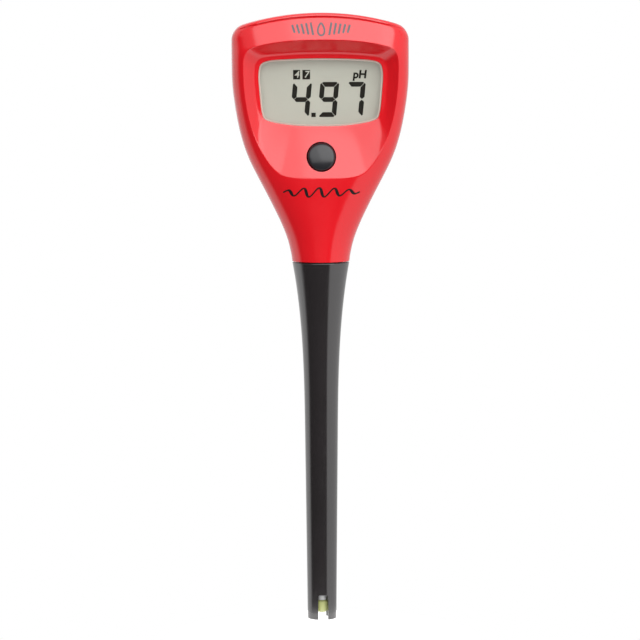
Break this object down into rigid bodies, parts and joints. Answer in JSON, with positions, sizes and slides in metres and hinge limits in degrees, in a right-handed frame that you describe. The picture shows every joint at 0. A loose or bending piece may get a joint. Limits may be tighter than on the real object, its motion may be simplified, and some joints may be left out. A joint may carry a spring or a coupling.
{
  "type": "digital ph meter",
  "caption": "Hand-held pH tester: red head with a display, one button and a coin cell, on a dark screw-in glass electrode with a slotted tip.",
  "frame": {"origin": "centre of the electrode's open tip, at its lowest plane, which is the bottom centre of the object's box", "axes": "+Z along the electrode from its tip to the head, -Y out of the display, +X to the reader's right"},
  "size_m": [0.0504, 0.0207, 0.174],
  "materials": {
    "red_case": "glossy moulded red",
    "dark_electrode": "satin dark grey moulding",
    "button_grey": "glossy dark grey",
    "clear_window": "clear acrylic",
    "lcd_glass": "grey-green display glass",
    "white_plastic": "natural moulded",
    "black_rubber": "soft moulded rubber",
    "board_green": "solder resist over glass fibre",
    "chip_black": "moulded epoxy",
    "steel": "plated steel",
    "contact_brass": "gold-flashed brass",
    "silver_wire": "silver wire",
    "stem_glass": "clear glass tube",
    "bulb_glass": "yellow-green pH glass",
    "ceramic": "porous white ceramic"
  },
  "bodies": {
    "head": {"front_shell": "red_case", "rear_shell": "red_case", "case_seal": "black_rubber", "display_lens": "clear_window", "lens_gasket": "black_rubber", "lcd_front_glass": "lcd_glass", "lcd_rear_glass": "lcd_glass", "lcd_frame": "white_plastic", "zebra_strip_upper": "black_rubber", "zebra_strip_lower": "black_rubber", "main_board": "board_green", "microcontroller": "chip_black", "crystal": "steel", "capacitor_1": "ceramic", "capacitor_2": "ceramic", "capacitor_3": "ceramic", "capacitor_4": "ceramic", "board_screw_1": "steel", "board_screw_2": "steel", "case_screw_1": "steel", "case_screw_2": "steel", "case_screw_3": "steel", "case_screw_4": "steel", "tact_switch": "chip_black", "button_seal": "black_rubber", "battery_cell": "steel", "battery_spring": "contact_brass", "battery_clip": "contact_brass", "electrode_socket": "dark_electrode", "socket_insulator": "white_plastic", "socket_pin_contact": "contact_brass", "socket_ring_contact": "contact_brass", "signal_wire": "white_plastic", "reference_lead": "black_rubber"},
    "button": {"power_button": "button_grey", "switch_plunger": "chip_black"},
    "cover_seal": {"battery_cover_seal": "black_rubber"},
    "cover": {"battery_cover": "red_case"},
    "neck_seal": {"electrode_seal": "black_rubber"},
    "electrode": {"electrode_body": "dark_electrode", "contact_insulator": "white_plastic", "contact_pin": "contact_brass", "contact_ring": "contact_brass", "glass_stem": "stem_glass", "sensing_bulb": "bulb_glass", "inner_wire": "silver_wire", "reference_wire": "silver_wire", "reference_junction": "ceramic", "lower_seal": "black_rubber", "upper_plug": "black_rubber"}
  },
  "joints": [
    {"name": "button_press", "type": "slide", "parent": "head", "child": "button", "axis": [0, 1, 0], "range_m": [0, 0.0006], "stiffness_N_per_m": 1500, "springref_m": -0.0005},
    {"name": "battery_cover_lift", "type": "slide", "parent": "head", "child": "cover_seal", "axis": [0, 1, 0], "range_m": [0, 0.0018]},
    {"name": "battery_cover_turn", "type": "hinge", "parent": "cover_seal", "child": "cover", "pos_m": [0, 0.0095, 0.1475], "axis": [0, 1, 0], "range_deg": [0, 65]},
    {"name": "electrode_draw", "type": "slide", "parent": "head", "child": "neck_seal", "axis": [0, 0, -1], "range_m": [0, 0.0061]},
    {"name": "electrode_turn", "type": "hinge", "parent": "neck_seal", "child": "electrode", "pos_m": [0, 0, 0.1], "axis": [0, 0, -1], "range_deg": [0, 1440]}
  ],
  "couplings": [
    {"joint": "battery_cover_lift", "follows": "battery_cover_turn", "m_per_rad": 0.0015597},
    {"joint": "electrode_draw", "follows": "electrode_turn", "m_per_rad": 0.00023873}
  ]
}
